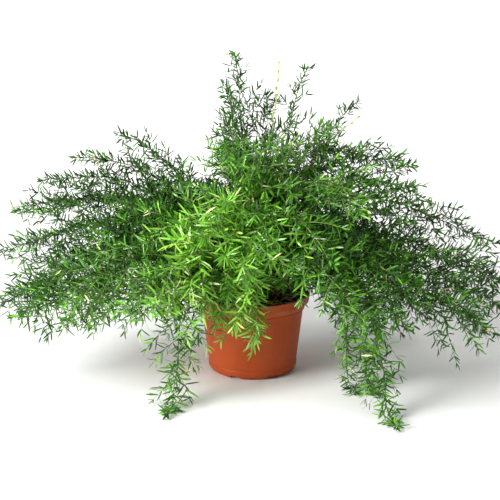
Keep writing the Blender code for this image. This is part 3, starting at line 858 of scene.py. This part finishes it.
def growBranchlets(path, length, draw, fullness):
    # one row a branchlet: its foot, its outward direction, the stem's direction and its length
    first = fern["bareShare"] * length
    count = max(4, int((length - first) / fern["branchEvery"] * (0.4 + 0.6 * fullness)))
    share = (np.arange(count) + draw.uniform(0.2, 0.8, count)) / count
    foot, along = pathPoint(path, (first + share * (length - first)) / length)
    chord = path[-1] - path[0]
    side = np.cross(up, chord)[None]
    side = unit(side - along * (side * along).sum(-1, keepdims=True))
    over = np.cross(along, side)
    turn = np.arange(count) * fern["spiral"] + draw.uniform(-0.5, 0.5, count)
    standing = (np.sin(turn) * fern["branchFlatten"])[:, None]
    outward = unit(side * np.cos(turn)[:, None] + over * standing)
    size = np.interp(share, *fern["branchSize"])
    reach = fern["branchLength"] * fullness * size * draw.uniform(0.65, 1.12, count)
    lean = np.radians(np.interp(share, *fern["branchLean"]) + draw.uniform(-9, 9, count))[:, None]
    start = unit(along * np.cos(lean) + outward * np.sin(lean))
    # the growth is open at the front right, where the mix shows: no branchlet enters there
    middle = foot + start * reach[:, None] * 0.55
    x, y, z = middle.T
    low, high = fern["openAcross"]
    openPlace = (x > low) & (x < high) & (y < fern["openBack"])
    openPlace &= z < fern["openTop"] + fern["openRise"] * y
    return tuple(values[~openPlace] for values in (foot, start, along, reach))


def branchPoint(foot, start, along, reach, sag, t):
    # a branchlet's curve: foot + start*L*t + along*L*turn*t^2 - up*L*sag*t^2, so that it turns
    # towards the stem's tip and sags
    turned = along * reach * fern["branchTurn"] * t ** 2
    return foot + start * reach * t + turned - up * reach * sag * t ** 2


def branchSlope(start, along, sag, t):
    # the curve's direction: its derivative over its length
    return unit(start + along * (2 * fern["branchTurn"]) * t - up * sag * 2 * t)


def splay(ahead, turn, spread, flatten=1.0, skew=0.013):
    # outward = side*cos(turn) + over*sin(turn)*flatten, round the direction ahead, and
    # ahead*cos(spread) + outward*sin(spread); skew keeps a side for an upright stem
    side = unit(np.cross(ahead, up + skew))
    over = np.cross(side, ahead)
    outward = unit(side * np.cos(turn)[:, None] + over * (np.sin(turn) * flatten)[:, None])
    spread = np.radians(spread)[:, None]
    return unit(ahead * np.cos(spread) + outward * np.sin(spread)), outward


def leafClusters(foot, start, along, reach, sag, draw):
    # leaves in clusters of three along every branchlet, turning from one cluster to the next
    clusters = np.maximum(2, (reach / fern["nodeEvery"]).astype(int))
    owner = np.repeat(np.arange(len(reach)), clusters)
    order = np.concatenate([np.arange(n) for n in clusters])
    t = (order + 0.8 + draw.uniform(-0.25, 0.25, len(order))) / clusters[owner]
    t = np.minimum(t, 1.0)
    owner, order, t = (np.repeat(values, 3) for values in (owner, order, t))
    within = np.tile(np.arange(3), len(t) // 3)
    keep = draw.uniform(size=len(t)) > fern["missingShare"]
    owner, order, t, within = (values[keep] for values in (owner, order, t, within))
    foot, start, along, reach, sag = (
        values[owner] for values in (foot, start, along, reach[:, None], sag[:, None])
    )
    place = branchPoint(foot, start, along, reach, sag, t[:, None])
    ahead = branchSlope(start, along, sag, t[:, None])
    turn = order * 1.1 + within * 2 * math.pi / 3 + draw.uniform(-0.45, 0.45, len(t))
    spread = np.interp(t, *fern["leafSpread"]) + draw.uniform(-16, 14, len(t))
    direction, _ = splay(ahead, turn, spread, fern["leafFlatten"], 0.01)
    size = np.interp(t, *fern["leafSize"]) * draw.uniform(0.78, 1.18, len(t))
    return place, direction, ahead, size


def stemLeaves(path, length, draw):
    # short clusters on the main stem itself, up to and round its tip
    first = fern["bareShare"]
    count = max(6, int(length * (1 - first) / fern["stemLeafEvery"]))
    share = first + (1 - first) * (np.arange(count) + 1) / count
    share = np.repeat(share, np.where(share > 0.7, 3, 2))  # fuller towards the tip
    place, ahead = pathPoint(path, share)
    turn = np.arange(len(share)) * 1.9 + draw.uniform(-0.4, 0.4, len(share))
    spread = np.where(share > 0.985, 24, 64) + draw.uniform(-11, 11, len(share))
    direction, _ = splay(ahead, turn, spread)
    size = np.interp(share, [first, 0.93, 1], [0.85, 0.95, 0.55])
    return place, direction, ahead, size * draw.uniform(0.8, 1.1, len(share))


def stemColours(share, around):
    # stems use the colour map's first strip: u across the strip, v along the stem
    band = fern["stemBand"]
    return np.stack([band * (0.5 + 0.3 * around), 0.04 + 0.92 * share], -1)


def leafColours(tone, share, around):
    # u is each leaf's own tone, a little wider than a line, and v runs from its base to its tip
    u = np.repeat(tone, len(share)) + 0.0025 * np.tile(around, len(tone))
    return np.stack([u, 0.03 + 0.94 * np.tile(share, len(tone))], -1)


def growFrond(name, path, fresh, seed, fullness, leafTissue):
    # a tapering stem, its branchlets, and the leaves of both, in one mesh; also the leaf count
    draw = np.random.default_rng(seed)
    path, length = evenPath(path, fern["stemRingEvery"])
    stations = np.linspace(0, 1, len(path))
    wobble = np.stack([waves(path, seed + k, 70 * mm, 6) for k in (1, 2, 3)], -1)
    path = path + wobble * fern["stemWobble"] * np.clip(stations * 4, 0, 1)[:, None]
    radii = fern["stemRadius"] + (fern["stemTip"] - fern["stemRadius"]) * stations
    tube, faces, share, around = sweep(path[None], radii[None], 6)
    parts = [(tube, faces, stemColours(share, around))]

    foot, start, along, reach = growBranchlets(path, length, draw, fullness)
    sag = draw.uniform(*fern["branchSag"], len(reach))
    t = np.linspace(0, 1, 6)[None, :, None]
    lines = branchPoint(foot[:, None], start[:, None], along[:, None],
                        reach[:, None, None], sag[:, None, None], t)
    widths = fern["branchRadius"] * np.linspace(1, 0.5, 6)[None]
    widths = widths * (0.7 + 0.5 * reach[:, None] / (60 * mm))  # long branchlets are thicker
    tube, faces, share, around = sweep(lines, widths, 3)
    parts.append((tube, faces, stemColours(0.6 + 0.4 * share, around)))

    sets = [leafClusters(foot, start, along, reach, sag, draw), stemLeaves(path, length, draw)]
    base, direction, ahead, size = (np.concatenate(pair) for pair in zip(*sets))
    count = len(base)
    lengths = np.interp(fresh, [0, 1], fern["leafLength"]) * size
    widths = np.interp(fresh, [0, 1], fern["leafWidth"]) * draw.uniform(0.75, 1.2, count)
    facing = 0.5 * ahead + 0.55 * up + draw.normal(scale=0.4, size=(count, 3))
    least, most = fern["leafCurl"]
    more = fern["freshCurl"] * fresh
    curl = draw.uniform(least - more, most + more, count)
    points, faces, share, around = blades(base, direction, facing, lengths, widths, curl)
    # each leaf's tone is a place on the leaf tones' ramp: dark to fresh, then cream and dry
    tone = fern["toneStart"] + fern["toneRise"] * fresh
    tone = tone + fern["toneSpread"] * draw.normal(size=count)
    tone = tone + fern["tonePatches"] * waves(base, seed, 60 * mm, 8)
    tone = np.clip(tone, 0.08, 0.93)
    tone = np.where(draw.uniform(size=count) < fern["creamShare"] * fresh ** 2, 0.93, tone)
    tone = np.where(draw.uniform(size=count) < fern["dryShare"], 0.985, tone)
    parts.append((points, faces, leafColours(tone, share, around)))

    points, faces, uv = joinParts(parts)
    piece = buildMesh(name, clearOfSurfaces(points), faces, leafTissue, uv)
    piece.data.set_sharp_from_angle(angle=math.radians(130))  # the blades' edges stay crisp
    return piece, count


def fernTissue(name, finish, stemTones):
    # living leaf and stem: waxy satin greens, from blue-green when old to yellow-green when
    # young, a little darker at a leaf's base and yellower at its tip, with a few dried tan needles;
    # stems run straw to green
    made, tree, shader = newMaterial(name, finish)
    uv = addNode(tree, "UVMap", {"uv_map": "OFBake"}).outputs["UV"]
    split = addNode(tree, "SeparateXYZ", links={"Vector": uv})
    u, v = split.outputs["X"], split.outputs["Y"]
    leaf = rampNode(tree, u, fern["leafTones"])
    along = rampNode(tree, v, [
        (0.0, "#C9C9C9"), (0.25, "#FFFFFF"), (0.9, "#FFFFFF"), (1.0, "#FFF3C4"),
    ])
    leafTint = mixColour(tree, 1.0, leaf, along, "MULTIPLY")
    stem = rampNode(tree, v, stemTones)
    isLeaf = addNode(tree, "Math", {"operation": "GREATER_THAN", 1: fern["stemBand"]}, {0: u})
    tree.links.new(mixColour(tree, isLeaf.outputs[0], stem, leafTint), shader.inputs["Base Color"])
    return made


def footHeadings(rows):
    # feet share their ring evenly, in the order of their fronds' headings
    unwound = [row[0] if row[0] < 350 else row[0] - 360 for row in rows]
    shift = sum(unwound) / len(rows) - 180 * (len(rows) - 1) / len(rows)
    return [math.radians(shift + 360 * k / len(rows)) for k in range(len(rows))]


def makeFronds():
    young = fernTissue("youngAsparagusLeaf", {"Roughness": 0.33, "IOR": 1.6}, fern["youngStem"])
    mature = fernTissue("matureAsparagusLeaf", {"Roughness": 0.5, "Specular IOR Level": 0.3},
                        fern["matureStem"])
    number, leaves = 0, 0
    for ring, rows in crownRings:
        for footHeading, row in zip(footHeadings(rows), rows):
            number += 1
            path = archingPath(footOn(ring * mm, footHeading), row)
            fresh, fullness = row[6:]
            tissue = young if fresh > fern["youngFrom"] else mature
            name = f"fernFrond{number:02d}"
            piece, count = growFrond(name, path, fresh, 100 * number, fullness, tissue)
            settle(piece, "fern_foliage", f"frond_{number:02d}")
            leaves += count
    for number, (heading, ring, fresh, fullness, route) in enumerate(trailing, 1):
        path = trailingPath(footOn(ring * mm, math.radians(heading)), route)
        name = f"trailingFrond{number:02d}"
        piece, count = growFrond(name, path, fresh, 7000 + 100 * number, fullness, mature)
        settle(piece, "fern_foliage", f"trailing_frond_{number:02d}")
        leaves += count
    print("fronds grown with", leaves, "leaves")


makeFronds()

shoot = {
    "ring": 12.5 * mm,  # distance of a shoot's foot from the axis
    "radius": (1.4 * mm, 0.5 * mm),  # at its foot and its tip
    "ringEvery": 1.6 * mm,
    "nodeEvery": 11 * mm,
    "swelling": 0.22,  # share of its radius that a node adds
    "swellLength": 1.6 * mm,
    "wobble": 1.2 * mm,
    "scaleLength": 5 * mm,
    "scaleWidth": 2.2 * mm,
    "budsFrom": 0.45,  # share of the shoot above which its buds open
    "budsPerNode": 4,
    "budLength": 6.5 * mm,
    "budWidth": 1.5 * mm,
    "seed": 9000,
}
# the shoots' heading, reach, height half way, tip height, droop and sway, as for the fronds
shoots = ((35, 50, 268, 424, 0.1, 0), (0, 150, 266, 350, -0.2, 3), (322, 78, 235, 330, 0.2, 3))


def paleShoot():
    # a fast-grown young stem: waxy, straw-brown at the foot, then pale yellow-green
    made, tree, shader = newMaterial("paleYoungStem", {"Roughness": 0.38, "IOR": 1.5})
    uv = addNode(tree, "UVMap", {"uv_map": "OFBake"}).outputs["UV"]
    v = addNode(tree, "SeparateXYZ", links={"Vector": uv}).outputs["Y"]
    colour = rampNode(tree, v, [
        (0.0, "#8A6A42"), (0.3, "#B7A35E"), (0.65, "#B4C06A"), (0.93, "#A5C964"), (1.0, "#CBD98B"),
    ])
    tree.links.new(colour, shader.inputs["Base Color"])
    return made


def growShoot(name, row, seed, tissue):
    # a tapering tube that swells by exp(-(d/swellLength)^2) at the distance d from each node,
    # with a papery scale there and buds that open towards the tip
    draw = np.random.default_rng(seed)
    foot = footOn(shoot["ring"], math.radians(row[0]))
    path, length = evenPath(archingPath(foot, row), shoot["ringEvery"])
    stations = np.linspace(0, 1, len(path))
    wobble = np.stack([waves(path, seed + k, 45 * mm, 6) for k in (1, 2, 3)], -1)
    path = path + wobble * shoot["wobble"] * stations[:, None]
    phase = stations * length / shoot["nodeEvery"]
    bump = np.exp(-((phase - np.round(phase)) * shoot["nodeEvery"] / shoot["swellLength"]) ** 2)
    radii = np.interp(stations, [0, 1], shoot["radius"]) * (1 + shoot["swelling"] * bump)
    tube, faces, share, around = sweep(path[None], radii[None], 10)
    parts = [(tube, faces, stemColours(share, around))]

    nodeShare = np.arange(1, int(phase[-1])) / phase[-1]
    buds = np.where(nodeShare > shoot["budsFrom"], shoot["budsPerNode"], 0)
    owner = np.repeat(np.arange(len(nodeShare)), buds + 1)
    first = np.concatenate([[True], owner[1:] != owner[:-1]])  # each node's own scale
    at = nodeShare[owner]
    place, ahead = pathPoint(path, at)
    turn = owner * fern["spiral"] + np.where(first, 0, draw.uniform(-1.2, 1.2, len(owner)))
    spread = np.where(first, 16, draw.uniform(18, 55, len(owner)))
    direction, outward = splay(ahead, turn, spread)
    grown = np.interp(at, [shoot["budsFrom"], 0.8, 1], [0.5, 1, 0.7])
    grown = grown * draw.uniform(0.6, 1.2, len(owner))
    lengths = np.where(first, shoot["scaleLength"], shoot["budLength"] * grown)
    widths = np.where(first, shoot["scaleWidth"], shoot["budWidth"])
    base = place + outward * np.interp(at, [0, 1], shoot["radius"])[:, None] * 0.6
    curl = np.full(len(owner), 0.05)
    points, faces, share, around = blades(base, direction, outward, lengths, widths, curl)
    tone = np.repeat(np.where(first, 0.25, 0.97), len(around))  # scales are tan, buds pale green
    parts.append((points, faces, np.stack([np.tile(around, len(owner)) * 0.02 + 0.5, tone], -1)))
    points, faces, uv = joinParts(parts)
    return buildMesh(name, points, faces, tissue, uv)


def makeShoots():
    tissue = paleShoot()
    for number, row in enumerate(shoots, 1):
        piece = growShoot(f"youngShoot{number:02d}", row, shoot["seed"] + 50 * number, tissue)
        settle(piece, "young_stem", f"young_shoot_{number:02d}")
    print("young shoots grown:", len(shoots))


makeShoots()


studio = {
    "target": (-3.4 * mm, 0.0, 166.5 * mm),
    "distance": 1.5,
    "elevation": 13.5,  # degrees above the horizon
    "viewWidth": 678.5 * mm,  # seen across the frame at the target's distance
    "sensor": 36.0,  # mm
    "worldLight": 0.3,
    # place, aim, size in metres and power in watts
    "lights": {
        "keyLight": ((-1.6, -1.4, 1.5), (0, 0, 0.18), 1.0, 80),
        "lowLight": ((-1.9, -1.0, 0.42), (0, 0, 0.06), 0.5, 27),
        "topLight": ((-0.1, -0.1, 2.2), (0, 0, 0.2), 1.0, 14),
        "backdropLight": ((0, 1.2, 1.8), (0, 3.2, 0.9), 1.6, 45),
    },
    "floorWidth": 8.0,
    "floorRun": (-3.0, 2.0),  # from in front of the plant to the foot of the backdrop
    "sweepRadius": 1.2,  # of the curve up into the backdrop
    "backdropTop": 4.0,
}


def makeStage():
    # a floor that curves up, by a quarter circle, into a backdrop far behind the plant
    across = np.linspace(-0.5, 0.5, 3) * studio["floorWidth"]
    front, back = studio["floorRun"]
    radius = studio["sweepRadius"]
    turn = np.linspace(0, math.pi / 2, 10)[1:]
    level = np.linspace(front, back, 6)
    run = np.concatenate([level, back + radius * np.sin(turn), [back + radius]])
    rise = np.concatenate([np.zeros(6), radius * (1 - np.cos(turn)), [studio["backdropTop"]]])
    grid = np.stack(np.broadcast_arrays(across[None], run[:, None], rise[:, None]), -1)
    here = np.arange(grid[..., 0].size).reshape(grid.shape[:2])
    quads = np.stack([here[:-1, :-1], here[:-1, 1:], here[1:, 1:], here[1:, :-1]], -1)
    # painted board, matt and nearly white
    paper, *_ = newMaterial("paleFloor", {"Base Color": paint("#F4F4F2"), "Roughness": 0.9})
    buildMesh("studioFloor", grid.reshape(-1, 3), [quads.reshape(-1, 4)], paper)


def addSoftLight(name, place, aim, size, power):
    light = bpy.data.lights.new(name, "AREA")
    light.shape = "SQUARE"
    light.size = size
    light.energy = power
    lamp = bpy.data.objects.new(name, light)
    lamp.location = place
    lamp.rotation_euler = (Vector(aim) - Vector(place)).to_track_quat("-Z", "Y").to_euler()
    bpy.context.scene.collection.objects.link(lamp)


def makeLights():
    # an even white surround and four square soft lamps
    world = bpy.data.worlds.new("studio")
    bpy.context.scene.world = world
    world.use_nodes = True
    back = world.node_tree.nodes["Background"]
    back.inputs["Color"].default_value = (1, 1, 1, 1)
    back.inputs["Strength"].default_value = studio["worldLight"]
    for name, (place, aim, size, power) in studio["lights"].items():
        addSoftLight(name, place, aim, size, power)


def makeCamera():
    # focal length = sensor*distance/viewWidth
    tilt = math.radians(studio["elevation"])
    target = Vector(studio["target"])
    camera = bpy.data.objects.new("camera", bpy.data.cameras.new("camera"))
    back = Vector((0, -math.cos(tilt), math.sin(tilt)))
    camera.location = target + back * studio["distance"]
    camera.rotation_euler = (-back).to_track_quat("-Z", "Y").to_euler()
    camera.data.sensor_width = studio["sensor"]
    camera.data.lens = studio["sensor"] * studio["distance"] / studio["viewWidth"]
    bpy.context.scene.collection.objects.link(camera)
    bpy.context.scene.camera = camera
    bpy.context.scene.view_settings.view_transform = "Standard"


makeStage()
makeLights()
makeCamera()
print("scene finished")
